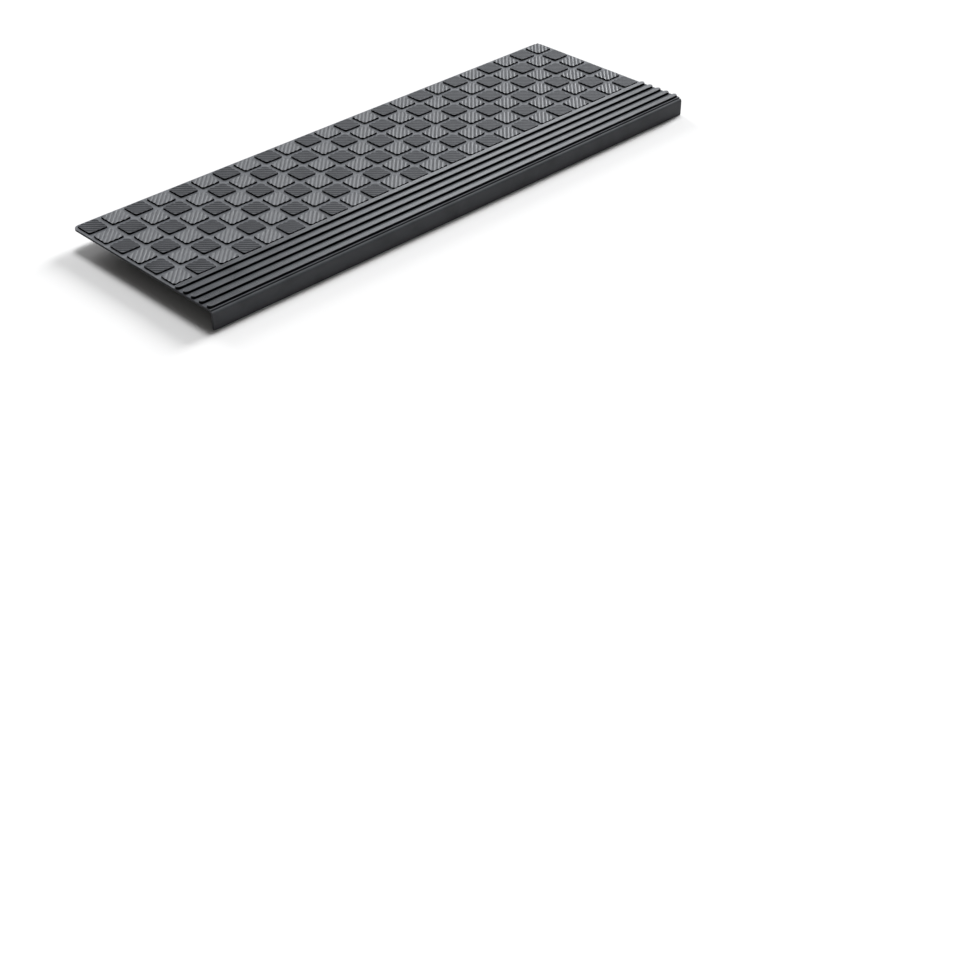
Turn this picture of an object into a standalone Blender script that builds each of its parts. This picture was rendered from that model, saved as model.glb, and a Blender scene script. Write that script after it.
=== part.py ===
"""Anti slip stair tread mat, moulded in one piece of black rubber.

Metres, +Z up. +X runs along the step, -Y points out over the step's front edge.
The origin is the middle of the flat underside, so the mat lies on a step at Z = 0
and its lip hangs down in front of the step.
"""
import math

import bmesh
import bpy
from mathutils import Matrix, Vector

# Mat
LENGTH = 0.750
DEPTH = 0.255
BASE_THICKNESS = 0.0025
BACK_CORNER_RADIUS = 0.008
EDGE_MARGIN = 0.0039

# Lip and nose
LIP_DROP = 0.0205
LIP_THICKNESS = 0.0035
LIP_EDGE_RADIUS = 0.0008
INNER_FILLET_RADIUS = 0.002
NOSE_RADIUS = 0.0045
NOSE_STEP = 0.0008
LEDGE_WIDTH = 0.0011

# Ribs along the nose
RIB_COUNT = 5
RIB_PITCH = 0.0136
RIB_WIDTH = 0.0075
RIB_HEIGHT = 0.003
RIB_TOP_CHAMFER = 0.0006
RIB_END_RADIUS = 0.0026
RIB_END_MARGIN = 0.0008

# Raised tiles
TILE_PITCH = 0.0312
TILE_SIDE = 0.0246
TILE_HEIGHT = 0.0019
TILE_TO_RIB_CLEARANCE = 0.001

# Diagonal ridges across each tile's top
RIDGE_PITCH = 0.00465
RIDGE_DEPTH = 0.0006

# How far a raised shape reaches down into the base that it is moulded with
ROOT_DEPTH = 0.0012

ARC_SEGMENTS = 4
RUBBER_COLOUR = (0.030, 0.031, 0.034, 1.0)
RUBBER_ROUGHNESS = 0.62


def clear_scene():
    """Remove every object of the scene."""
    for item in list(bpy.data.objects):
        bpy.data.objects.remove(item, do_unlink=True)


def rubber_material():
    """Return the black rubber of the mat."""
    material = bpy.data.materials.new("black_rubber")
    material.use_nodes = True
    shader = material.node_tree.nodes["Principled BSDF"]
    shader.inputs["Base Color"].default_value = RUBBER_COLOUR
    shader.inputs["Roughness"].default_value = RUBBER_ROUGHNESS
    shader.inputs["Metallic"].default_value = 0.0
    return material


def arc(centre, radius, start, end):
    """Return the points of an arc about a (y, z) centre, from start to end degrees."""
    points = []
    for step in range(ARC_SEGMENTS + 1):
        angle = math.radians(start + (end - start) * step / ARC_SEGMENTS)
        points.append((centre[0] + radius * math.cos(angle), centre[1] + radius * math.sin(angle)))
    return points


def section_outline():
    """Return the (y, z) outline of the mat's plain section: base, ledge, nose and lip."""
    front = -DEPTH / 2
    back = DEPTH / 2
    inner = front + LIP_THICKNESS
    nose_centre = (front + NOSE_RADIUS, BASE_THICKNESS - NOSE_STEP - NOSE_RADIUS)
    outline = [(back, 0.0), (back, BASE_THICKNESS), (front + NOSE_RADIUS, BASE_THICKNESS)]
    outline += arc(nose_centre, NOSE_RADIUS, 90, 180)
    outline += arc((front + LIP_EDGE_RADIUS, -LIP_DROP + LIP_EDGE_RADIUS), LIP_EDGE_RADIUS, 180, 270)
    outline += arc((inner - LIP_EDGE_RADIUS, -LIP_DROP + LIP_EDGE_RADIUS), LIP_EDGE_RADIUS, 270, 360)
    outline += arc((inner + INNER_FILLET_RADIUS, -INNER_FILLET_RADIUS), INNER_FILLET_RADIUS, 180, 90)
    return outline


def base_mesh():
    """Return the base with its nose and lip, and with round corners at the back."""
    form = bmesh.new()
    ring = [form.verts.new((-LENGTH / 2, y, z)) for y, z in section_outline()]
    profile = form.faces.new(ring)
    extruded = bmesh.ops.extrude_face_region(form, geom=[profile])["geom"]
    moved = [item for item in extruded if isinstance(item, bmesh.types.BMVert)]
    bmesh.ops.translate(form, verts=moved, vec=(LENGTH, 0.0, 0.0))
    corners = [edge for edge in form.edges if is_back_corner(edge)]
    bmesh.ops.bevel(form, geom=corners, offset=BACK_CORNER_RADIUS, offset_type="OFFSET",
                    segments=ARC_SEGMENTS + 1, profile=0.5, affect="EDGES")
    bmesh.ops.recalc_face_normals(form, faces=form.faces)
    return finished_mesh(form, "base")


def is_back_corner(edge):
    """Tell whether an edge is one of the two upright edges at the back."""
    at_back = all(abs(vert.co.y - DEPTH / 2) < 1e-6 for vert in edge.verts)
    upright = abs(edge.verts[0].co.z - edge.verts[1].co.z) > BASE_THICKNESS / 2
    return at_back and upright


def tile_corner_radius():
    """Return a tile's corner radius: the first valley ends where the round corner starts."""
    return RIDGE_PITCH / math.sqrt(2)


def last_valley():
    """Return the number of half ridge pitches from a tile's centre line to its last valley."""
    corner_start = (TILE_SIDE - tile_corner_radius()) / math.sqrt(2)
    valleys = math.floor((corner_start - RIDGE_PITCH / 4) / RIDGE_PITCH + 0.5)
    return 2 * valleys - 1


def depth_below_crest(offset):
    """Return how far a tile's top lies below its crests, at an offset across the ridges."""
    half_pitches = 2 * abs(offset) / RIDGE_PITCH
    if half_pitches > last_valley() + 0.1:
        return 0.0
    phase = half_pitches / 2
    return RIDGE_DEPTH * 2 * abs(phase - round(phase))


def add_round_square(form, side, radius, height):
    """Add a square face whose corners are rounded with two straight segments each."""
    inside = side / 2 - radius
    ring = []
    for quarter in range(4):
        centre = Matrix.Rotation(math.radians(90 * quarter), 3, "Z") @ Vector((inside, inside, 0.0))
        for angle in (0, 45, 90):
            turn = math.radians(90 * quarter + angle)
            ring.append((centre.x + radius * math.cos(turn), centre.y + radius * math.sin(turn), height))
    form.faces.new([form.verts.new(point) for point in ring])


def tile_mesh(direction):
    """Return one tile about its centre, with ridges along (1, direction)."""
    across = Vector((direction, -1.0, 0.0)).normalized()
    top = BASE_THICKNESS + TILE_HEIGHT
    form = bmesh.new()
    add_round_square(form, TILE_SIDE, tile_corner_radius(), top)
    for half_pitch in range(-last_valley(), last_valley() + 1):
        everything = form.verts[:] + form.edges[:] + form.faces[:]
        line = across * (half_pitch * RIDGE_PITCH / 2)
        bmesh.ops.bisect_plane(form, geom=everything, plane_co=line, plane_no=across, dist=1e-6)
    crown = form.verts[:]
    extruded = bmesh.ops.extrude_face_region(form, geom=form.faces[:])["geom"]
    for item in extruded:
        if isinstance(item, bmesh.types.BMVert):
            item.co.z = BASE_THICKNESS - ROOT_DEPTH
    for vert in crown:
        vert.co.z = top - depth_below_crest(vert.co.dot(across))
    bmesh.ops.recalc_face_normals(form, faces=form.faces)
    bmesh.ops.dissolve_limit(form, angle_limit=math.radians(0.2), verts=form.verts, edges=form.edges)
    return finished_mesh(form, "tile")


def tile_columns():
    """Return how many columns of tiles fill the mat's length, at about the named pitch."""
    return round((LENGTH - 2 * EDGE_MARGIN - TILE_SIDE) / TILE_PITCH) + 1


def tile_pitch():
    """Return the spacing of the tiles, which fill the mat's length between its margins."""
    return (LENGTH - 2 * EDGE_MARGIN - TILE_SIDE) / (tile_columns() - 1)


def back_row_y():
    """Return the y of the middle of the row of tiles at the back."""
    return DEPTH / 2 - EDGE_MARGIN - TILE_SIDE / 2


def tile_rows():
    """Return how many rows of tiles fit between the back edge and the ribs."""
    front_limit = rib_front(0) + RIB_WIDTH + TILE_TO_RIB_CLEARANCE
    return math.floor((back_row_y() - TILE_SIDE / 2 - front_limit) / tile_pitch()) + 1


def tile_places():
    """Return each tile's centre and ridge direction, in rows from the back to the ribs."""
    places = []
    for row in range(tile_rows()):
        for column in range(tile_columns()):
            x = (column - (tile_columns() - 1) / 2) * tile_pitch()
            y = back_row_y() - row * tile_pitch()
            direction = -1 if (column + row) % 2 == 0 else 1
            places.append((x, y, direction))
    return places


def nose_rib_front():
    """Return the y of the front side of the rib next to the nose."""
    return -DEPTH / 2 + NOSE_RADIUS + LEDGE_WIDTH


def rib_front(index):
    """Return the y of a rib's front side, with the ribs counted back to front."""
    return nose_rib_front() + (RIB_COUNT - 1 - index) * RIB_PITCH


def rib_mesh():
    """Return one rib about its centre, with round ends and a chamfered top edge."""
    length = LENGTH - 2 * RIB_END_MARGIN
    top = BASE_THICKNESS + RIB_HEIGHT
    form = bmesh.new()
    bmesh.ops.create_grid(form, x_segments=1, y_segments=1, size=0.5,
                          matrix=Matrix.Diagonal((length, RIB_WIDTH, 1.0, 1.0)))
    bmesh.ops.translate(form, verts=form.verts, vec=(0.0, 0.0, BASE_THICKNESS - ROOT_DEPTH))
    extruded = bmesh.ops.extrude_face_region(form, geom=form.faces[:])["geom"]
    raised = [item for item in extruded if isinstance(item, bmesh.types.BMVert)]
    bmesh.ops.translate(form, verts=raised, vec=(0.0, 0.0, RIB_HEIGHT + ROOT_DEPTH))
    uprights = [edge for edge in form.edges if edge.verts[0].co.xy == edge.verts[1].co.xy]
    bmesh.ops.bevel(form, geom=uprights, offset=min(RIB_END_RADIUS, RIB_WIDTH * 0.49),
                    offset_type="OFFSET", segments=2, profile=0.5, affect="EDGES")
    rim = [edge for edge in form.edges if all(abs(vert.co.z - top) < 1e-6 for vert in edge.verts)]
    bmesh.ops.bevel(form, geom=rim, offset=RIB_TOP_CHAMFER, offset_type="OFFSET", segments=1,
                    profile=0.5, affect="EDGES")
    bmesh.ops.recalc_face_normals(form, faces=form.faces)
    return finished_mesh(form, "rib")


def finished_mesh(form, name):
    """Write a bmesh out as a new mesh."""
    mesh = bpy.data.meshes.new(name)
    form.to_mesh(mesh)
    form.free()
    return mesh


def add_copy(form, mesh, place):
    """Add a copy of a mesh, moved to a place."""
    before = len(form.verts)
    form.from_mesh(mesh)
    form.verts.ensure_lookup_table()
    bmesh.ops.translate(form, verts=form.verts[before:], vec=place)


def relief_mesh():
    """Return every raised shape on the base: the tiles and the ribs."""
    tiles = {direction: tile_mesh(direction) for direction in (1, -1)}
    rib = rib_mesh()
    form = bmesh.new()
    for x, y, direction in tile_places():
        add_copy(form, tiles[direction], (x, y, 0.0))
    for index in range(RIB_COUNT):
        add_copy(form, rib, (0.0, rib_front(index) + RIB_WIDTH / 2, 0.0))
    return finished_mesh(form, "relief")


def guide_object(mesh, name):
    """Return an object that only shapes another one and isn't a piece itself."""
    guide = bpy.data.objects.new(name, mesh)
    guide.hide_render = True
    guide.display_type = "WIRE"
    bpy.context.scene.collection.objects.link(guide)
    return guide


def build_mat():
    """Build the whole mat as one closed piece."""
    base = base_mesh()
    base.materials.append(rubber_material())
    mat = bpy.data.objects.new("stair_tread_mat", base)
    bpy.context.scene.collection.objects.link(mat)
    union = mat.modifiers.new("relief", "BOOLEAN")
    union.operation = "UNION"
    union.solver = "EXACT"
    union.object = guide_object(relief_mesh(), "relief")


clear_scene()
build_mat()
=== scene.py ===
"""Visual model of an anti slip stair tread mat, moulded in one piece of black rubber.

The mat has a thin base with a rounded nose and a hanging lip, rows of raised tiles
whose tops carry diagonal ridges, and five ribs along the nose. Sizes are in metres,
in the frame of the CAD part: +X along the step, -Y out over its front edge, +Z up,
with the origin in the middle of the flat underside.
"""
import logging
import math
from dataclasses import dataclass
from enum import Enum, IntEnum

import bmesh
import bpy
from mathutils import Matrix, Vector


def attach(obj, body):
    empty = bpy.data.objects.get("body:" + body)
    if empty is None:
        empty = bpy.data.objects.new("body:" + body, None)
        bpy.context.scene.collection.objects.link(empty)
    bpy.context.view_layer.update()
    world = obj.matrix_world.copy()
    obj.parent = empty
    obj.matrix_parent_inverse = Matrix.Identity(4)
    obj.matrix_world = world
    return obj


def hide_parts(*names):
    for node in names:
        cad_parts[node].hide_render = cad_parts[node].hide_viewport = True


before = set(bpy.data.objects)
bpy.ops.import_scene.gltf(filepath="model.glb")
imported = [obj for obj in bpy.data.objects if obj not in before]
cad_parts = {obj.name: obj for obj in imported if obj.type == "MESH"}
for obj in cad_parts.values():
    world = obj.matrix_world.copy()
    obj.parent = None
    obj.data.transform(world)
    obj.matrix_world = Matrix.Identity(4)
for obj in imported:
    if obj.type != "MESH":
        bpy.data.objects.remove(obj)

log = logging.getLogger("stair_tread_mat")

NODE = "stair_tread_mat"
BODY = "root"
# Names the edges painted lighter, partly for wear and partly as a painted highlight.
EDGE_ATTRIBUTE = "worn_edge"
# Names the faces that get the darker rubber, a painted shade on walls and in recesses.
PAINTED_SHADE_ATTRIBUTE = "dull_wall"

# How far a place may lie past a limit and still count as inside it, and how near two
# places have to be to count as one.
SLACK = 0.0001
TOUCHING = 1e-6

# Limits for a face's normal: a wall's z is below the first, the front's y is below the
# second, and a flat top's z is above the third.
WALL_LIMIT = 0.3
FRONT_LIMIT = -0.5
FLAT_LIMIT = 0.9

# How much lighter the edges of the tops are painted, for wear and as a painted highlight.
TOP_EDGE_WEAR_AND_HIGHLIGHT = 0.3
FLAT_FACE_WEIGHT = 90
ROUND_PROFILE = 0.5

# A Mix node has its colour sockets after those of its other data types.
MIX_FACTOR = 0
MIX_FIRST_COLOUR = 6
MIX_SECOND_COLOUR = 7
MIX_COLOUR_RESULT = 2

Point2 = tuple[float, float]
EdgePoint = tuple[Vector, Vector]
Colour = tuple[float, float, float, float]


class RidgeDirection(IntEnum):
    """Which of a tile's diagonals its ridges run along."""

    TO_BACK_RIGHT = 1
    TO_FRONT_RIGHT = -1


class Skin(Enum):
    """The rubber's finishes, with the names of their materials."""

    MOULDED = "black_rubber"
    SMOOTH = "smooth_black_rubber"
    # Darker, nearly glossless rubber: a painted shade on walls, in recesses and between the ribs.
    DULL = "dull_black_rubber"
    LIP = "lip_black_rubber"


@dataclass(frozen=True)
class MatSizes:
    """Sizes that the pieces of the mat share."""

    length: float = 0.750
    depth: float = 0.255
    base_thickness: float = 0.0025
    edge_margin: float = 0.0039
    nose_radius: float = 0.0045
    ledge_width: float = 0.0011
    rib_count: int = 5
    rib_pitch: float = 0.0136
    rib_width: float = 0.0071

    @property
    def front(self) -> float:
        """The y of the lip's front face."""
        return -self.depth / 2

    @property
    def back(self) -> float:
        """The y of the mat's back edge."""
        return self.depth / 2

    @property
    def nose_rib_front(self) -> float:
        """The y of the front side of the rib next to the nose."""
        return self.front + self.nose_radius + self.ledge_width

    @property
    def rear_rib_back(self) -> float:
        """The y of the back side of the rib next to the tiles."""
        return self.nose_rib_front + (self.rib_count - 1) * self.rib_pitch + self.rib_width


@dataclass(frozen=True)
class Turn:
    """One turn of a wall: how far outside the top's edge it runs, how high, and how much lighter its edge is
    painted for wear and as a painted highlight.

    A painted-shade turn gives the faces above it the darker, nearly glossless rubber that paints shade on
    walls.
    """

    outset: float
    height: float
    wear_and_highlight: float = 0.0
    painted_shade: bool = False


def arc_points(centre: Point2, radius: float, start: float, end: float, steps: int) -> list[Point2]:
    """Give the points of an arc.

    Args:
        centre: The arc's centre.
        radius: The arc's radius.
        start: The first point's angle in degrees.
        end: The last point's angle in degrees.
        steps: How many straight pieces the arc has.

    Returns:
        The points from start to end, both included.
    """
    angles = [math.radians(start + (end - start) * step / steps) for step in range(steps + 1)]
    return [(centre[0] + radius * math.cos(a), centre[1] + radius * math.sin(a)) for a in angles]


def face_out(form: bmesh.types.BMesh) -> None:
    """Turn every face of a closed form outwards.

    Args:
        form: The form whose faces are turned in place.
    """
    bmesh.ops.recalc_face_normals(form, faces=form.faces)
    if form.calc_volume(signed=True) < 0.0:
        bmesh.ops.reverse_faces(form, faces=form.faces)


def rounded(
    form: bmesh.types.BMesh,
    edges: list[bmesh.types.BMEdge],
    radius: float,
    steps: int,
    clamped: bool = False,
) -> None:
    """Round some edges of a form.

    Args:
        form: The form.
        edges: The edges.
        radius: How far the rounding reaches from each edge.
        steps: How many faces each rounding has.
        clamped: Whether the rounding stops where it would meet another.
    """
    bmesh.ops.bevel(
        form,
        geom=edges,
        offset=radius,
        offset_type="OFFSET",
        segments=steps,
        profile=ROUND_PROFILE,
        affect="EDGES",
        clamp_overlap=clamped,
    )


def mesh_from(form: bmesh.types.BMesh, name: str) -> bpy.types.Mesh:
    """Write a bmesh out as a new mesh.

    Args:
        form: The finished bmesh, which is freed.
        name: The mesh's name.

    Returns:
        The new mesh.
    """
    mesh = bpy.data.meshes.new(name)
    form.to_mesh(mesh)
    form.free()
    return mesh


def object_from(mesh: bpy.types.Mesh, name: str) -> bpy.types.Object:
    """Put a mesh in the scene as an object at the origin.

    Args:
        mesh: The object's mesh.
        name: The object's name.

    Returns:
        The new object.
    """
    made = bpy.data.objects.new(name, mesh)
    bpy.context.scene.collection.objects.link(made)
    return made


def baked(source: bpy.types.Object, name: str) -> bpy.types.Object:
    """Turn an object's evaluated shape into a plain mesh object and remove the source.

    Args:
        source: The object whose modifiers make the shape.
        name: The new object's name.

    Returns:
        The plain object.
    """
    bpy.context.view_layer.update()
    graph = bpy.context.evaluated_depsgraph_get()
    mesh = bpy.data.meshes.new_from_object(source.evaluated_get(graph), depsgraph=graph)
    bpy.data.objects.remove(source, do_unlink=True)
    mesh.name = name
    return object_from(mesh, name)


def smoothed(mesh: bpy.types.Mesh, angle: float) -> None:
    """Shade a mesh smooth, but keep edges sharper than an angle, with flats left flat.

    Args:
        mesh: The mesh.
        angle: The limit in degrees.
    """
    mesh.shade_smooth()
    mesh.set_sharp_from_angle(angle=math.radians(angle))


def weighted(source: bpy.types.Object) -> bpy.types.Object:
    """Give an object's flat faces their own plain normals beside its round edges.

    Args:
        source: The object, which is removed.

    Returns:
        The object with its new normals.
    """
    name = source.name
    source.name = name + "_rough"
    weigh = source.modifiers.new("normals", "WEIGHTED_NORMAL")
    weigh.keep_sharp = True
    weigh.weight = FLAT_FACE_WEIGHT
    return baked(source, name)


def settle(piece: bpy.types.Object) -> None:
    """Tie a finished piece to the CAD body, and hide the CAD node that it stands for.

    Args:
        piece: The finished piece.
    """
    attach(piece, BODY)
    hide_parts(NODE)
    triangles = sum(len(face.vertices) - 2 for face in piece.data.polygons)
    log.info("%s: %d triangles", piece.name, triangles)


class NodeTree:
    """A node tree under construction, with short ways to add and join nodes."""

    def __init__(self, tree: bpy.types.NodeTree) -> None:
        """Keep the tree."""
        self.tree = tree

    def add(self, kind: str, **settings: object) -> bpy.types.Node:
        """Add a node.

        Args:
            kind: The node's type name.
            **settings: Properties of the node.

        Returns:
            The new node.
        """
        node = self.tree.nodes.new(kind)
        for key, value in settings.items():
            setattr(node, key, value)
        return node

    def join(self, source: bpy.types.NodeSocket, target: bpy.types.NodeSocket) -> None:
        """Link an output to an input."""
        self.tree.links.new(source, target)

    def feed(self, target: bpy.types.NodeSocket, value: object) -> None:
        """Give an input either a link or a plain value.

        Args:
            target: The input.
            value: An output socket, or the value itself.
        """
        if isinstance(value, bpy.types.NodeSocket):
            self.join(value, target)
        else:
            target.default_value = value

    def maths(self, operation: str, *values: object) -> bpy.types.NodeSocket:
        """Add a Math node.

        Args:
            operation: The operation's name.
            *values: Output sockets or numbers, one for each input.

        Returns:
            The result.
        """
        node = self.add("ShaderNodeMath", operation=operation)
        for slot_index, value in enumerate(values):
            self.feed(node.inputs[slot_index], value)
        return node.outputs[0]

    def add_sockets(self, direction: str, kinds: dict[str, str]) -> None:
        """Give the group that the tree makes its inputs or outputs.

        Args:
            direction: "INPUT" or "OUTPUT".
            kinds: Each socket's name, with its kind.
        """
        for name, kind in kinds.items():
            self.tree.interface.new_socket(name, in_out=direction, socket_type=f"NodeSocket{kind}")

    def put_out(self, instances: bpy.types.NodeSocket, given: bpy.types.bpy_prop_collection) -> None:
        """Realize a Geometry Nodes tree's instances, dress them and make them its result.

        Args:
            instances: The instances.
            given: The tree's inputs, with the rubber of the tops and the darker rubber of the walls, which
                paints shade on them.
        """
        realized = self.add("GeometryNodeRealizeInstances")
        self.join(instances, realized.inputs["Geometry"])
        tops = self.add("GeometryNodeSetMaterial")
        self.join(realized.outputs["Geometry"], tops.inputs["Geometry"])
        self.join(given["Rubber"], tops.inputs["Material"])
        # Faces marked by the attribute get the darker rubber, a painted shade.
        marked = self.add("GeometryNodeInputNamedAttribute", data_type="INT")
        marked.inputs["Name"].default_value = PAINTED_SHADE_ATTRIBUTE
        walls = self.add("GeometryNodeSetMaterial")
        self.join(tops.outputs["Geometry"], walls.inputs["Geometry"])
        self.join(marked.outputs["Attribute"], walls.inputs["Selection"])
        self.join(given["Dull Rubber"], walls.inputs["Material"])
        self.join(walls.outputs["Geometry"], self.add("NodeGroupOutput").inputs["Geometry"])

    def vector(self, x: object, y: object, z: object) -> bpy.types.NodeSocket:
        """Combine three values into a vector."""
        node = self.add("ShaderNodeCombineXYZ")
        for slot_index, value in enumerate((x, y, z)):
            self.feed(node.inputs[slot_index], value)
        return node.outputs[0]


def set_inputs(modifier: bpy.types.Modifier, values: dict[str, object]) -> None:
    """Set a Geometry Nodes modifier's inputs by their names.

    Args:
        modifier: The modifier.
        values: The value of each named input.
    """
    for item in modifier.node_group.interface.items_tree:
        if item.item_type == "SOCKET" and item.in_out == "INPUT" and item.name in values:
            modifier[item.identifier] = values[item.name]


@dataclass(frozen=True)
class GrainGroup:
    """The shader group for moulded rubber: grain, dull and polished patches, and edges painted lighter for
    wear and as a painted highlight.
    """

    name: str = "moulded_rubber_surface"
    noise_layers: float = 3.0
    patch_strength: float = 0.55
    grain_strength: float = 0.6
    pore_scale: float = 0.7
    pore_depth: float = 0.45
    darkest_patch: float = 0.35
    palest_patch: float = 0.68
    least_wear_and_highlight: float = 0.45
    speckle: float = 0.12

    def build(self) -> bpy.types.NodeTree:
        """Build the group.

        Returns:
            The group, with named inputs and outputs.
        """
        group = bpy.data.node_groups.new(self.name, "ShaderNodeTree")
        tree = NodeTree(group)
        tree.add_sockets(
            "INPUT",
            {
                "Dark Colour": "Color",
                "Pale Colour": "Color",
                "Worn Colour": "Color",
                "Grain Scale": "Float",
                "Patch Scale": "Float",
                "Base Roughness": "Float",
                "Roughness Spread": "Float",
                "Worn Edge": "Float",
            },
        )
        tree.add_sockets("OUTPUT", {"Colour": "Color", "Roughness": "Float", "Height": "Float"})
        given = tree.add("NodeGroupInput").outputs
        result = tree.add("NodeGroupOutput").inputs
        place = tree.add("ShaderNodeTexCoord").outputs["Object"]

        patches = self.noise(tree, place, given["Patch Scale"], self.patch_strength)
        grain = self.noise(tree, place, given["Grain Scale"], self.grain_strength)
        pores = tree.add("ShaderNodeTexVoronoi", feature="SMOOTH_F1")
        tree.join(place, pores.inputs["Vector"])
        tree.join(tree.maths("MULTIPLY", given["Grain Scale"], self.pore_scale), pores.inputs["Scale"])

        cloud = tree.add("ShaderNodeMapRange")
        tree.join(patches, cloud.inputs["Value"])
        cloud.inputs["From Min"].default_value = self.darkest_patch
        cloud.inputs["From Max"].default_value = self.palest_patch
        tone = self.mixed(tree, cloud.outputs["Result"], given["Dark Colour"], given["Pale Colour"])
        # Marked edges get the lighter colour, partly wear and partly a painted highlight.
        wear_and_highlight_share = tree.maths("MULTIPLY", given["Worn Edge"], tree.maths("ADD", self.least_wear_and_highlight, patches))
        wear_and_highlight = self.mixed(tree, wear_and_highlight_share, tone, given["Worn Colour"])
        tree.join(wear_and_highlight, result["Colour"])

        swing = tree.maths("MULTIPLY", self.centred(tree, patches), given["Roughness Spread"])
        speckle = tree.maths("MULTIPLY", self.centred(tree, grain), self.speckle)
        rough = tree.maths("ADD", given["Base Roughness"], tree.maths("ADD", swing, speckle))
        tree.join(rough, result["Roughness"])

        dimple = tree.maths("MULTIPLY", pores.outputs["Distance"], self.pore_depth)
        tree.join(tree.maths("ADD", grain, dimple), result["Height"])
        return group

    def centred(self, tree: NodeTree, pattern: bpy.types.NodeSocket) -> bpy.types.NodeSocket:
        """Shift a pattern that runs from 0 to 1 so that it swings about 0."""
        return tree.maths("SUBTRACT", pattern, 0.5)

    def noise(
        self, tree: NodeTree, place: bpy.types.NodeSocket, scale: object, strength: float
    ) -> bpy.types.NodeSocket:
        """Add a noise pattern.

        Args:
            tree: The tree it goes in.
            place: The coordinates it reads.
            scale: Its scale, as a socket or a number.
            strength: How strong its finer layers are.

        Returns:
            The pattern's value.
        """
        node = tree.add("ShaderNodeTexNoise")
        tree.join(place, node.inputs["Vector"])
        tree.feed(node.inputs["Scale"], scale)
        node.inputs["Detail"].default_value = self.noise_layers
        node.inputs["Roughness"].default_value = strength
        return node.outputs["Fac"]

    def mixed(self, tree: NodeTree, factor: object, first: object, second: object) -> bpy.types.NodeSocket:
        """Mix two colours.

        Args:
            tree: The tree the node goes in.
            factor: How much of the second colour there is.
            first: The first colour.
            second: The second colour.

        Returns:
            The mixed colour.
        """
        node = tree.add("ShaderNodeMix", data_type="RGBA", clamp_factor=True)
        tree.feed(node.inputs[MIX_FACTOR], factor)
        tree.feed(node.inputs[MIX_FIRST_COLOUR], first)
        tree.feed(node.inputs[MIX_SECOND_COLOUR], second)
        return node.outputs[MIX_COLOUR_RESULT]


@dataclass(frozen=True)
class RubberFinish:
    """A finish of the mat's black rubber. The given values are those of the tops."""

    dark: Colour = (0.006, 0.0063, 0.0078, 1.0)
    pale: Colour = (0.011, 0.0115, 0.0138, 1.0)
    # The lighter colour of marked edges: wear and a painted highlight.
    wear_and_highlight: Colour = (0.065, 0.067, 0.072, 1.0)
    grain_scale: float = 1500.0
    patch_scale: float = 34.0
    roughness: float = 0.46
    roughness_spread: float = 0.16
    refraction: float = 1.27
    gloss_tint: Colour = (0.94, 0.96, 1.0, 1.0)
    bump_height: float = 0.00003
    bump_strength: float = 0.6

    def material(self, name: str, group: bpy.types.NodeTree) -> bpy.types.Material:
        """Build the material.

        Args:
            name: The material's name.
            group: The shared shader group for rubber.

        Returns:
            The new material.
        """
        made = bpy.data.materials.new(name)
        made.use_nodes = True
        tree = NodeTree(made.node_tree)
        shader = made.node_tree.nodes["Principled BSDF"]
        surface = tree.add("ShaderNodeGroup", node_tree=group)
        for key, value in (
            ("Dark Colour", self.dark),
            ("Pale Colour", self.pale),
            ("Worn Colour", self.wear_and_highlight),
            ("Grain Scale", self.grain_scale),
            ("Patch Scale", self.patch_scale),
            ("Base Roughness", self.roughness),
            ("Roughness Spread", self.roughness_spread),
        ):
            surface.inputs[key].default_value = value
        edge = tree.add("ShaderNodeAttribute", attribute_name=EDGE_ATTRIBUTE)
        tree.join(edge.outputs["Fac"], surface.inputs["Worn Edge"])
        tree.join(surface.outputs["Colour"], shader.inputs["Base Color"])
        tree.join(surface.outputs["Roughness"], shader.inputs["Roughness"])
        bump = tree.add("ShaderNodeBump")
        bump.inputs["Strength"].default_value = self.bump_strength
        bump.inputs["Distance"].default_value = self.bump_height
        tree.join(surface.outputs["Height"], bump.inputs["Height"])
        tree.join(bump.outputs["Normal"], shader.inputs["Normal"])
        shader.inputs["IOR"].default_value = self.refraction
        shader.inputs["Specular Tint"].default_value = self.gloss_tint
        shader.inputs["Metallic"].default_value = 0.0
        return made


FINISHES: dict[Skin, RubberFinish] = {
    Skin.MOULDED: RubberFinish(),
    Skin.SMOOTH: RubberFinish(roughness=0.31, roughness_spread=0.10, refraction=1.36, bump_height=0.00002),
    # A darker, nearly glossless copy for walls, the recess and the floor between the ribs: a painted shade.
    Skin.DULL: RubberFinish(
        dark=(0.0030, 0.0032, 0.0039, 1.0),
        pale=(0.0055, 0.0058, 0.0069, 1.0),
        roughness=0.62,
        roughness_spread=0.10,
        refraction=1.05,
        bump_height=0.00005,
    ),
    Skin.LIP: RubberFinish(roughness=0.52, refraction=1.21),
}


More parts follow.
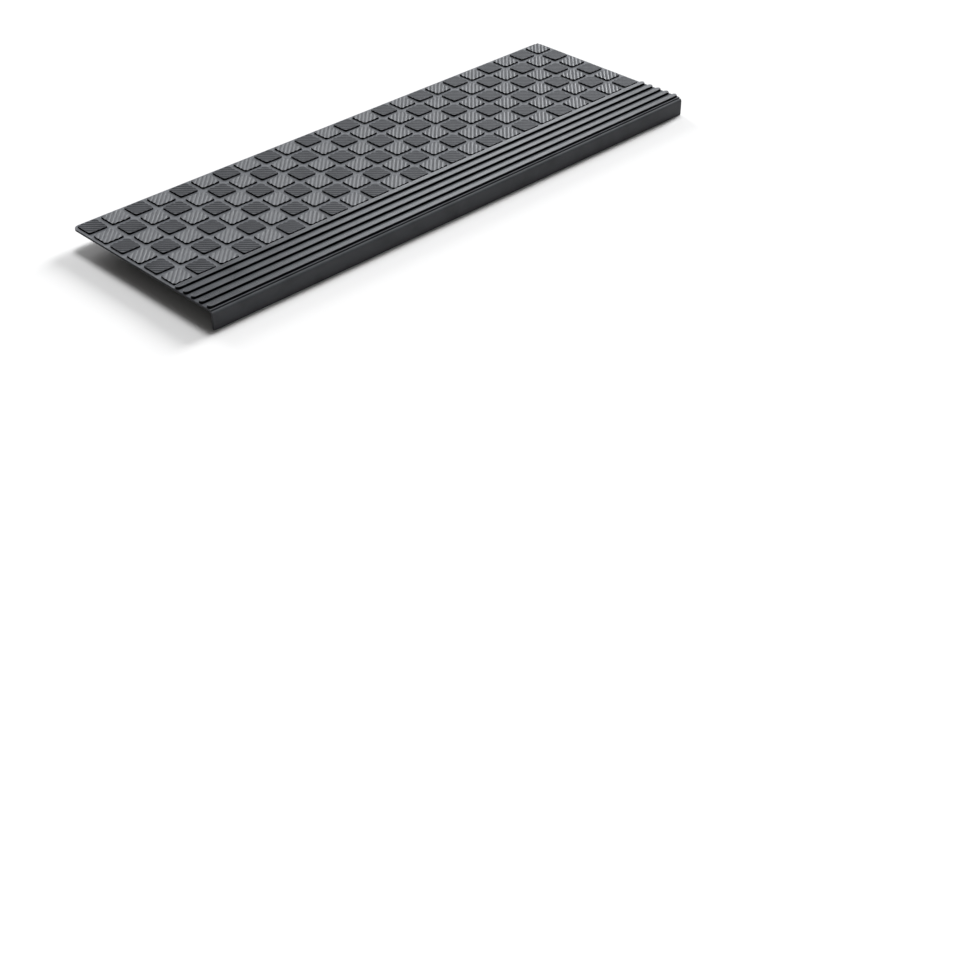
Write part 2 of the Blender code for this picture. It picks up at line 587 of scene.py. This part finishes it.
@dataclass
class BaseAndLip:
    """The thin base, its rounded nose and the lip that hangs in front of the step."""

    sizes: MatSizes
    skins: dict[Skin, bpy.types.Material]
    back_corner_radius: float = 0.008
    lip_drop: float = 0.0205
    lip_thickness: float = 0.0035
    lip_edge_radius: float = 0.0008
    inner_fillet_radius: float = 0.002
    nose_step: float = 0.0008
    ledge_reach: float = 0.0008
    groove_width: float = 0.0014
    groove_depth: float = 0.0018
    brink: float = 0.0002
    rim_radius: float = 0.00035
    rim_steps: int = 3
    rim_angle: float = 60.0
    arc_steps: int = 10
    small_arc_steps: int = 5
    brink_steps: int = 3
    smooth_angle: float = 32.0
    # How much lighter the rims and the nose are painted, for wear and as a painted highlight.
    rim_wear_and_highlight: float = 1.0
    nose_wear_and_highlight: float = 0.08

    @property
    def ledge_y(self) -> float:
        """The y of the ledge's front, which is the back of the recess."""
        return self.sizes.front + self.sizes.nose_radius - self.ledge_reach

    @property
    def groove_y(self) -> float:
        """The y of the front of the recess."""
        return self.ledge_y - self.groove_width

    def outline(self) -> list[Point2]:
        """Give the section of the base and lip.

        Returns:
            The (y, z) points in order.
        """
        s = self.sizes
        top = s.base_thickness
        nose_y = s.front + s.nose_radius
        nose_z = top - self.nose_step - s.nose_radius
        nose_start = 90 + math.degrees(math.asin((nose_y - self.groove_y) / s.nose_radius))
        brink = self.brink
        small = self.lip_edge_radius
        edge_z = small - self.lip_drop
        inner = s.front + self.lip_thickness
        fillet = self.inner_fillet_radius
        steps = self.small_arc_steps
        points = [(s.back, 0.0), (s.back, top), (s.rear_rib_back, top), (s.nose_rib_front, top)]
        points += arc_points((self.ledge_y + brink, top - brink), brink, 90, 180, self.brink_steps)
        points += [(y, top - self.groove_depth) for y in (self.ledge_y, self.groove_y)]
        points += arc_points((nose_y, nose_z), s.nose_radius, nose_start, 180, self.arc_steps)
        points += arc_points((s.front + small, edge_z), small, 180, 270, steps)
        points += arc_points((inner - small, edge_z), small, 270, 360, steps)
        points += arc_points((inner + fillet, -fillet), fillet, 180, 90, steps)
        return points

    def build(self) -> bpy.types.Object:
        """Build and dress the piece.

        Returns:
            The finished piece.
        """
        half = self.sizes.length / 2
        form = bmesh.new()
        ring = [form.verts.new((-half, y, z)) for y, z in self.outline()]
        profile = form.faces.new(ring)
        swept = bmesh.ops.extrude_face_region(form, geom=[profile])["geom"]
        moved = [item for item in swept if isinstance(item, bmesh.types.BMVert)]
        bmesh.ops.translate(form, verts=moved, vec=(self.sizes.length, 0.0, 0.0))
        face_out(form)
        self.round_corners(form)
        self.round_rims(form)
        piece = object_from(mesh_from(form, "base_and_lip"), "base_and_lip")
        smoothed(piece.data, self.smooth_angle)
        piece = weighted(piece)
        self.dress(piece.data)
        settle(piece)
        return piece

    def dress(self, mesh: bpy.types.Mesh) -> None:
        """Give each face its rubber.

        Args:
            mesh: The piece's mesh.
        """
        order = [Skin.MOULDED, Skin.DULL, Skin.LIP]
        mesh.materials.clear()
        for skin in order:
            mesh.materials.append(self.skins[skin])
        for face in mesh.polygons:
            face.material_index = order.index(self.skin_of(face))

    def skin_of(self, face: bpy.types.MeshPolygon) -> Skin:
        """Choose the skin of a face.

        Args:
            face: The face.

        Returns:
            The darker rubber of painted shade in the recess, between the ribs, at the ends and at the
            back, the lip's own on the nose and lip, and elsewhere the plain moulded one.
        """
        middle, normal = face.center, face.normal
        ledge_z = self.sizes.base_thickness - self.brink
        high = ledge_z - self.groove_depth < middle.z < ledge_z
        in_recess = high and self.groove_y - SLACK < middle.y < self.ledge_y + SLACK
        plain_wall = abs(normal.z) < WALL_LIMIT and normal.y > FRONT_LIMIT
        in_rib_rows = self.sizes.nose_rib_front < middle.y < self.sizes.rear_rib_back
        # The recess, the walls and the floor between the ribs get the darker rubber of a painted shade.
        if in_recess or plain_wall or (in_rib_rows and normal.z > FLAT_LIMIT):
            return Skin.DULL
        return Skin.LIP if middle.y < self.groove_y - SLACK else Skin.MOULDED

    def round_corners(self, form: bmesh.types.BMesh) -> None:
        """Round the two upright edges at the back.

        Args:
            form: The swept section.
        """
        corners = [
            edge
            for edge in form.edges
            if all(abs(vert.co.y - self.sizes.back) < TOUCHING for vert in edge.verts)
            and abs(edge.verts[0].co.z - edge.verts[1].co.z) > self.sizes.base_thickness / 2
        ]
        rounded(form, corners, self.back_corner_radius, self.arc_steps)

    def round_rims(self, form: bmesh.types.BMesh) -> None:
        """Soften the rims of the two ends and of the back, and paint them, the nose and the lip's edge
        lighter, for wear and as a painted highlight.

        Args:
            form: The swept section with its round corners.
        """
        limit = math.radians(self.rim_angle)
        rims = [edge for edge in form.edges if edge.is_manifold and edge.calc_face_angle() > limit]
        before = set(form.faces)
        rounded(form, rims, self.rim_radius, self.rim_steps, clamped=True)
        wear_and_highlight = form.verts.layers.float.new(EDGE_ATTRIBUTE)
        for face in form.faces:
            if face not in before:
                for vert in face.verts:
                    vert[wear_and_highlight] = self.rim_wear_and_highlight
        nose_back = self.sizes.nose_rib_front - SLACK
        for vert in form.verts:
            on_nose = vert.co.z > SLACK and vert.co.y < nose_back
            on_lip_edge = vert.co.z < self.lip_edge_radius - self.lip_drop
            if on_nose or on_lip_edge:
                vert[wear_and_highlight] = max(vert[wear_and_highlight], self.nose_wear_and_highlight)


@dataclass(frozen=True)
class RaisedEdge:
    """The wall round a low raised shape: a soft rim, a slight draft and a fillet at its foot.

    The fillet bends at a share of its size, foot_bend, and ends a little below the base's top.
    """

    foot_height: float
    rim_radius: float = 0.00020
    rim_steps: int = 2
    # How much lighter the rim is painted, for wear and as a painted highlight.
    rim_wear_and_highlight: float = 0.7
    draft: float = 0.00006
    foot_fillet: float = 0.00025
    foot_bend: float = 0.3
    sunk: float = 0.00002

    @property
    def inset(self) -> float:
        """How far the top's edge lies inside the wall's foot."""
        return self.rim_radius + self.draft

    def rim(self) -> list[Turn]:
        """Give the turns of the rim, with heights counted from the top's edge."""
        radius = self.rim_radius
        turns = []
        for step in range(1, self.rim_steps + 1):
            angle = math.radians(90.0 * step / self.rim_steps)
            wear_and_highlight_share = self.rim_wear_and_highlight if step < self.rim_steps else 0.0
            turns.append(Turn(radius * math.sin(angle), radius * (math.cos(angle) - 1.0), wear_and_highlight_share))
        return turns

    def foot(self) -> list[Turn]:
        """Give the turns at the foot, with heights in the mat's frame."""
        fillet = self.foot_fillet
        bend = fillet * self.foot_bend
        # The wall and the fillet at its foot get the darker rubber of a painted shade.
        return [
            Turn(self.inset, self.foot_height + fillet, painted_shade=True),
            Turn(self.inset + bend, self.foot_height + bend, painted_shade=True),
            Turn(self.inset + fillet, self.foot_height - self.sunk, painted_shade=True),
        ]

    def start(self) -> bmesh.types.BMesh:
        """Start a raised shape, with layers for its edges' wear and painted highlight and for its walls'
        painted shade.
        """
        form = bmesh.new()
        form.verts.layers.float.new(EDGE_ATTRIBUTE)
        form.faces.layers.int.new(PAINTED_SHADE_ATTRIBUTE)
        return form

    def top_edge(self, form: bmesh.types.BMesh, points: list[EdgePoint]) -> list[bmesh.types.BMVert]:
        """Add the vertices of a top's edge, painted slightly lighter for wear and as a painted highlight.

        Args:
            form: The bmesh that the raised shape is made in.
            points: The points of the edge, or of a part of it.

        Returns:
            The vertices, in the same order.
        """
        wear_and_highlight = form.verts.layers.float[EDGE_ATTRIBUTE]
        verts = []
        for point, _ in points:
            vert = form.verts.new(point)
            vert[wear_and_highlight] = TOP_EDGE_WEAR_AND_HIGHLIGHT
            verts.append(vert)
        return verts

    def add_to(self, form: bmesh.types.BMesh, loop: list[EdgePoint], top: list[bmesh.types.BMVert]) -> None:
        """Add the wall below an outline, and close the shape underneath.

        Args:
            form: The bmesh that the raised shape is made in.
            loop: The points of the top's edge.
            top: The vertices of the top's edge, in the same order.
        """
        previous = top
        for turn in self.rim():
            places = [(*(point + out * turn.outset).xy, point.z + turn.height) for point, out in loop]
            previous = self.next_turn(form, previous, places, turn)
        for turn in self.foot():
            places = [(*(point + out * turn.outset).xy, turn.height) for point, out in loop]
            previous = self.next_turn(form, previous, places, turn)
        form.faces.new(previous)

    def next_turn(
        self,
        form: bmesh.types.BMesh,
        upper: list[bmesh.types.BMVert],
        places: list[tuple[float, float, float]],
        turn: Turn,
    ) -> list[bmesh.types.BMVert]:
        """Add one turn of vertices and the faces between it and the turn above.

        Args:
            form: The bmesh that the raised shape is made in.
            upper: The turn above.
            places: Where the new vertices go.
            turn: The new turn.

        Returns:
            The new vertices.
        """
        wear_and_highlight = form.verts.layers.float[EDGE_ATTRIBUTE]
        painted_shade = form.faces.layers.int[PAINTED_SHADE_ATTRIBUTE]
        lower = [form.verts.new(place) for place in places]
        for vert in lower:
            vert[wear_and_highlight] = turn.wear_and_highlight
        for here in range(len(upper)):
            there = (here + 1) % len(upper)
            face = form.faces.new((upper[here], lower[here], lower[there], upper[there]))
            face[painted_shade] = int(turn.painted_shade)
        return lower


@dataclass
class TileField:
    """The rows of raised tiles, whose diagonal ridges turn from tile to tile.

    The ridges' lines keep tip_gap, in steps, from the round of the corners they run towards.
    """

    sizes: MatSizes
    skins: dict[Skin, bpy.types.Material]
    columns: int = 24
    rows: int = 6
    side: float = 0.0246
    rise: float = 0.0022
    corner_radius: float = 0.0025
    ridge_pitch: float = 0.00465
    ridge_count: int = 7
    ridge_depth: float = 0.0009
    steps_per_ridge: int = 4
    tip_gap: float = 0.4
    corner_steps: int = 2
    smooth_angle: float = 34.0

    @property
    def block(self) -> RaisedEdge:
        """The wall round each tile."""
        return RaisedEdge(self.sizes.base_thickness)

    @property
    def pitch(self) -> float:
        """The spacing of the tiles, which fill the mat's length between its margins."""
        return (self.sizes.length - 2 * self.sizes.edge_margin - self.side) / (self.columns - 1)

    def ridge_height(self, across: float) -> float:
        """Give the height of a tile's top at a distance across the ridges.

        Args:
            across: The distance from the tile's middle, square to the ridges.

        Returns:
            The height, with round crests and sharp grooves.
        """
        last_crest = self.ridge_pitch * (self.ridge_count - 1) / 2
        phase = math.pi * min(abs(across), last_crest) / self.ridge_pitch
        swell = abs(math.cos(phase))
        return self.sizes.base_thickness + self.rise - self.ridge_depth * (1.0 - swell)

    def half_outline(self) -> list[tuple[float, float, float, float]]:
        """Give one half of the tile's top edge, in the ridges' own directions.

        Returns:
            For each point its place across and along the ridges, then the direction outwards.
        """
        inset = self.block.inset
        half = self.side / 2 - inset
        radius = self.corner_radius - inset
        middle = (half - radius) * math.sqrt(2)
        slant = math.sqrt(0.5)
        step = self.ridge_pitch / self.steps_per_ridge
        count = math.floor((middle + radius * slant - step * self.tip_gap) / step)
        places = []
        for index in range(-count, count + 1):
            across = index * step
            if abs(across) < radius * slant:
                along = math.sqrt(radius**2 - across**2)
                places.append((across, middle + along, across / radius, along / radius))
            else:
                along = half * math.sqrt(2) - abs(across)
                places.append((across, along, math.copysign(slant, across), slant))
        for index in range(self.corner_steps + 1):
            turn = math.radians(45.0 * index / self.corner_steps)
            spot = (middle + radius * math.cos(turn), radius * math.sin(turn))
            for sign in (-1.0, 1.0):
                places.append((sign * spot[0], spot[1], sign * math.cos(turn), math.sin(turn)))
        return sorted(places)

    def tile_mesh(self, direction: RidgeDirection) -> bpy.types.Mesh:
        """Build one tile about its middle.

        Args:
            direction: The diagonal the ridges run along.

        Returns:
            The tile's closed mesh.
        """
        along = Vector((1.0, float(direction), 0.0)).normalized()
        across = Vector((1.0, -float(direction), 0.0)).normalized()
        form = self.block.start()
        half = self.half_outline()
        upper = [self.placed(place, 1.0, along, across) for place in half]
        lower = [self.placed(place, -1.0, along, across) for place in half[1:-1]]
        upper_verts = self.block.top_edge(form, upper)
        lower_verts = self.block.top_edge(form, lower)
        self.add_top(form, upper_verts, lower_verts)
        self.block.add_to(form, upper + lower[::-1], upper_verts + lower_verts[::-1])
        face_out(form)
        mesh = mesh_from(form, "tile")
        smoothed(mesh, self.smooth_angle)
        return mesh

    def placed(
        self, place: tuple[float, float, float, float], sign: float, along: Vector, across: Vector
    ) -> EdgePoint:
        """Turn a point of the half outline into the tile's own frame.

        Args:
            place: The point, from half_outline.
            sign: 1 for the half it was made for, -1 for the other half.
            along: The direction along the ridges.
            across: The direction across them.

        Returns:
            The point at its height, and the direction outwards.
        """
        point = across * place[0] + along * (sign * place[1])
        point.z = self.ridge_height(place[0])
        return point, across * place[2] + along * (sign * place[3])

    def add_top(
        self,
        form: bmesh.types.BMesh,
        upper: list[bmesh.types.BMVert],
        lower: list[bmesh.types.BMVert],
    ) -> None:
        """Add the strips of the ridged top.

        Args:
            form: The bmesh the tile is made in.
            upper: The top's edge on one side, with both tips.
            lower: The top's edge on the other side, without the tips.
        """
        last = len(lower) - 1
        form.faces.new((upper[0], lower[0], upper[1]))
        form.faces.new((upper[-1], upper[-2], lower[last]))
        for index in range(last):
            form.faces.new((upper[index + 1], lower[index], lower[index + 1], upper[index + 2]))

    def node_group(self) -> bpy.types.NodeTree:
        """Build the Geometry Nodes tree that lays the tiles out.

        Returns:
            The tree, with named inputs.
        """
        group = bpy.data.node_groups.new("tile_rows", "GeometryNodeTree")
        group.is_modifier = True
        tree = NodeTree(group)
        tree.add_sockets(
            "INPUT",
            {
                "Columns": "Int",
                "Rows": "Int",
                "Pitch": "Float",
                "Middle": "Vector",
                "Even Tile": "Object",
                "Odd Tile": "Object",
                "Rubber": "Material",
                "Dull Rubber": "Material",
            },
        )
        tree.add_sockets("OUTPUT", {"Geometry": "Geometry"})
        given = tree.add("NodeGroupInput").outputs
        spans = [
            tree.maths("MULTIPLY", tree.maths("SUBTRACT", given[name], 1.0), given["Pitch"])
            for name in ("Columns", "Rows")
        ]
        grid = tree.add("GeometryNodeMeshGrid")
        tree.join(spans[0], grid.inputs["Size X"])
        tree.join(spans[1], grid.inputs["Size Y"])
        tree.join(given["Columns"], grid.inputs["Vertices X"])
        tree.join(given["Rows"], grid.inputs["Vertices Y"])
        parity = self.parity(tree, spans, given["Pitch"])
        joined = tree.add("GeometryNodeJoinGeometry")
        for name, selection in (("Odd Tile", parity), ("Even Tile", tree.maths("SUBTRACT", 1.0, parity))):
            source = tree.add("GeometryNodeObjectInfo", transform_space="ORIGINAL")
            tree.join(given[name], source.inputs["Object"])
            copies = tree.add("GeometryNodeInstanceOnPoints")
            tree.join(grid.outputs["Mesh"], copies.inputs["Points"])
            tree.join(selection, copies.inputs["Selection"])
            tree.join(source.outputs["Geometry"], copies.inputs["Instance"])
            tree.join(copies.outputs["Instances"], joined.inputs["Geometry"])
        moved = tree.add("GeometryNodeTransform")
        tree.join(joined.outputs["Geometry"], moved.inputs["Geometry"])
        tree.join(given["Middle"], moved.inputs["Translation"])
        tree.put_out(moved.outputs["Geometry"], given)
        return group

    def parity(
        self, tree: NodeTree, spans: list[bpy.types.NodeSocket], pitch: bpy.types.NodeSocket
    ) -> bpy.types.NodeSocket:
        """Add the nodes that tell odd tiles from even ones.

        Args:
            tree: The tree they go in.
            spans: The grid's length and depth.
            pitch: The tiles' spacing.

        Returns:
            1 for a tile whose column and row add up to an odd number, otherwise 0.
        """
        place = tree.add("ShaderNodeSeparateXYZ")
        tree.join(tree.add("GeometryNodeInputPosition").outputs[0], place.inputs[0])
        from_left = tree.maths("ADD", place.outputs["X"], tree.maths("MULTIPLY", spans[0], 0.5))
        from_back = tree.maths("SUBTRACT", tree.maths("MULTIPLY", spans[1], 0.5), place.outputs["Y"])
        steps = tree.maths("DIVIDE", tree.maths("ADD", from_left, from_back), pitch)
        return tree.maths("MODULO", tree.maths("ROUND", steps), 2.0)

    def build(self) -> bpy.types.Object:
        """Build and dress the piece.

        Returns:
            The finished piece.
        """
        even = object_from(self.tile_mesh(RidgeDirection.TO_FRONT_RIGHT), "even_tile")
        odd = object_from(self.tile_mesh(RidgeDirection.TO_BACK_RIGHT), "odd_tile")
        carrier = object_from(bpy.data.meshes.new("tile_carrier"), "tile_carrier")
        modifier = carrier.modifiers.new("tile_rows", "NODES")
        modifier.node_group = self.node_group()
        last_row_y = self.sizes.back - self.sizes.edge_margin - self.side / 2
        middle_y = last_row_y - (self.rows - 1) * self.pitch / 2
        set_inputs(
            modifier,
            {
                "Columns": self.columns,
                "Rows": self.rows,
                "Pitch": self.pitch,
                "Middle": (0.0, middle_y, 0.0),
                "Even Tile": even,
                "Odd Tile": odd,
                "Rubber": self.skins[Skin.MOULDED],
                "Dull Rubber": self.skins[Skin.DULL],
            },
        )
        piece = weighted(baked(carrier, "raised_tiles"))
        for source in (even, odd):
            bpy.data.objects.remove(source, do_unlink=True)
        settle(piece)
        return piece


@dataclass
class NoseRibs:
    """The ribs along the nose, with round ends and soft top edges."""

    sizes: MatSizes
    skins: dict[Skin, bpy.types.Material]
    rise: float = 0.003
    end_margin: float = 0.0008
    end_radius: float = 0.0036
    corner_steps: int = 6
    smooth_angle: float = 50.0

    @property
    def block(self) -> RaisedEdge:
        """The wall round each rib."""
        return RaisedEdge(
            self.sizes.base_thickness,
            rim_radius=0.0006,
            rim_steps=4,
            rim_wear_and_highlight=0.3,
            draft=0.00010,
            foot_fillet=0.0002,
        )

    def rib_mesh(self) -> bpy.types.Mesh:
        """Build one rib about its middle.

        Returns:
            The rib's closed mesh.
        """
        inset = self.block.inset
        half_x = self.sizes.length / 2 - self.end_margin - inset
        half_y = self.sizes.rib_width / 2 - inset
        radius = self.end_radius - inset
        top = self.sizes.base_thickness + self.rise
        loop = []
        for quarter, (sign_x, sign_y) in enumerate(((1, 1), (-1, 1), (-1, -1), (1, -1))):
            for step in range(self.corner_steps + 1):
                turn = math.radians(90 * (quarter + step / self.corner_steps))
                outwards = Vector((math.cos(turn), math.sin(turn), 0.0))
                centre = Vector((sign_x * (half_x - radius), sign_y * (half_y - radius), top))
                loop.append((centre + outwards * radius, outwards))
        form = self.block.start()
        rim = self.block.top_edge(form, loop)
        form.faces.new(rim)
        self.block.add_to(form, loop, rim)
        face_out(form)
        mesh = mesh_from(form, "rib")
        smoothed(mesh, self.smooth_angle)
        return mesh

    def node_group(self) -> bpy.types.NodeTree:
        """Build the Geometry Nodes tree that lays the ribs out.

        Returns:
            The tree, with named inputs.
        """
        group = bpy.data.node_groups.new("rib_row", "GeometryNodeTree")
        group.is_modifier = True
        tree = NodeTree(group)
        tree.add_sockets(
            "INPUT",
            {
                "Count": "Int",
                "Pitch": "Float",
                "First": "Vector",
                "Rib": "Object",
                "Rubber": "Material",
                "Dull Rubber": "Material",
            },
        )
        tree.add_sockets("OUTPUT", {"Geometry": "Geometry"})
        given = tree.add("NodeGroupInput").outputs
        line = tree.add("GeometryNodeMeshLine", mode="OFFSET")
        tree.join(given["Count"], line.inputs["Count"])
        tree.join(given["First"], line.inputs["Start Location"])
        tree.join(tree.vector(0.0, given["Pitch"], 0.0), line.inputs["Offset"])
        source = tree.add("GeometryNodeObjectInfo", transform_space="ORIGINAL")
        tree.join(given["Rib"], source.inputs["Object"])
        copies = tree.add("GeometryNodeInstanceOnPoints")
        tree.join(line.outputs["Mesh"], copies.inputs["Points"])
        tree.join(source.outputs["Geometry"], copies.inputs["Instance"])
        tree.put_out(copies.outputs["Instances"], given)
        return group

    def build(self) -> bpy.types.Object:
        """Build and dress the piece.

        Returns:
            The finished piece.
        """
        rib = object_from(self.rib_mesh(), "single_rib")
        carrier = object_from(bpy.data.meshes.new("rib_carrier"), "rib_carrier")
        modifier = carrier.modifiers.new("rib_row", "NODES")
        modifier.node_group = self.node_group()
        nose_rib_y = self.sizes.nose_rib_front + self.sizes.rib_width / 2
        set_inputs(
            modifier,
            {
                "Count": self.sizes.rib_count,
                "Pitch": self.sizes.rib_pitch,
                "First": (0.0, nose_rib_y, 0.0),
                "Rib": rib,
                "Rubber": self.skins[Skin.SMOOTH],
                "Dull Rubber": self.skins[Skin.DULL],
            },
        )
        piece = weighted(baked(carrier, "nose_ribs"))
        bpy.data.objects.remove(rib, do_unlink=True)
        settle(piece)
        return piece


@dataclass(frozen=True)
class SoftLight:
    """A broad soft light, placed by its compass direction and its height in degrees."""

    name: str
    azimuth: float
    height: float
    breadth: float
    strength: float


@dataclass
class Studio:
    """The pale floor, the soft lights and the camera."""

    floor_height: float = -0.02055
    floor_half: float = 6.0
    floor_colour: Colour = (0.54, 0.53, 0.52, 1.0)
    floor_roughness: float = 0.9
    floor_gloss: float = 0.1
    sky_colour: Colour = (1.0, 1.0, 1.0, 1.0)
    sky_strength: float = 0.16
    light_colour: tuple[float, float, float] = (0.955, 0.975, 1.0)
    camera_place: tuple[float, float, float] = (-1.21219, -1.36059, 0.88376)
    camera_azimuth: float = 44.775
    camera_dip: float = 36.821
    lens: float = 62.23
    sensor_width: float = 36.0
    nearest: float = 0.05
    farthest: float = 50.0
    lights: tuple[SoftLight, ...] = (
        SoftLight("back_light", azimuth=12.0, height=24.0, breadth=22.0, strength=1.9),
        SoftLight("right_light", azimuth=80.0, height=24.0, breadth=22.0, strength=5.6),
        SoftLight("middle_light", azimuth=45.0, height=26.0, breadth=14.0, strength=0.34),
        SoftLight("high_light", azimuth=55.0, height=60.0, breadth=22.0, strength=3.0),
    )

    def build(self) -> None:
        """Build the floor, the lights and the camera."""
        self.add_floor()
        self.add_sky()
        for light in self.lights:
            self.add_light(light)
        self.add_camera()

    def add_floor(self) -> None:
        """Lay the floor just under the lip."""
        form = bmesh.new()
        bmesh.ops.create_grid(form, x_segments=1, y_segments=1, size=self.floor_half)
        bmesh.ops.translate(form, verts=form.verts, vec=(0.0, 0.0, self.floor_height))
        floor = object_from(mesh_from(form, "floor"), "floor")
        paint = bpy.data.materials.new("pale_floor")
        paint.use_nodes = True
        shader = paint.node_tree.nodes["Principled BSDF"]
        shader.inputs["Base Color"].default_value = self.floor_colour
        shader.inputs["Roughness"].default_value = self.floor_roughness
        shader.inputs["Specular IOR Level"].default_value = self.floor_gloss
        floor.data.materials.append(paint)

    def add_sky(self) -> None:
        """Light the scene evenly from all round."""
        world = bpy.data.worlds.new("studio")
        world.use_nodes = True
        background = world.node_tree.nodes["Background"]
        background.inputs["Color"].default_value = self.sky_colour
        background.inputs["Strength"].default_value = self.sky_strength
        bpy.context.scene.world = world
        bpy.context.scene.view_settings.view_transform = "Standard"

    def add_light(self, light: SoftLight) -> None:
        """Add a broad light that shines alike on the whole floor.

        Args:
            light: The light's direction, breadth and strength.
        """
        lamp = bpy.data.lights.new(light.name, "SUN")
        lamp.angle = math.radians(light.breadth)
        lamp.energy = light.strength
        lamp.color = self.light_colour
        holder = bpy.data.objects.new(light.name, lamp)
        holder.rotation_euler = (math.radians(90.0 - light.height), 0.0, math.radians(180.0 - light.azimuth))
        bpy.context.scene.collection.objects.link(holder)

    def add_camera(self) -> None:
        """Put the camera where the photograph was taken from."""
        data = bpy.data.cameras.new("camera")
        data.lens = self.lens
        data.sensor_width = self.sensor_width
        data.clip_start = self.nearest
        data.clip_end = self.farthest
        camera = bpy.data.objects.new("camera", data)
        camera.location = self.camera_place
        camera.rotation_euler = (
            math.radians(90.0 - self.camera_dip),
            0.0,
            math.radians(-self.camera_azimuth),
        )
        bpy.context.scene.collection.objects.link(camera)
        bpy.context.scene.camera = camera


def main() -> None:
    logging.basicConfig(level=logging.INFO, format="%(name)s: %(message)s")
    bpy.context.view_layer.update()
    sizes = MatSizes()
    grain = GrainGroup().build()
    skins = {skin: finish.material(skin.value, grain) for skin, finish in FINISHES.items()}
    for part in (BaseAndLip(sizes, skins), TileField(sizes, skins), NoseRibs(sizes, skins)):
        piece = part.build()
        log.info("%s built as %s", type(part).__name__, piece.name)
    Studio().build()


if __name__ == "__main__":
    main()
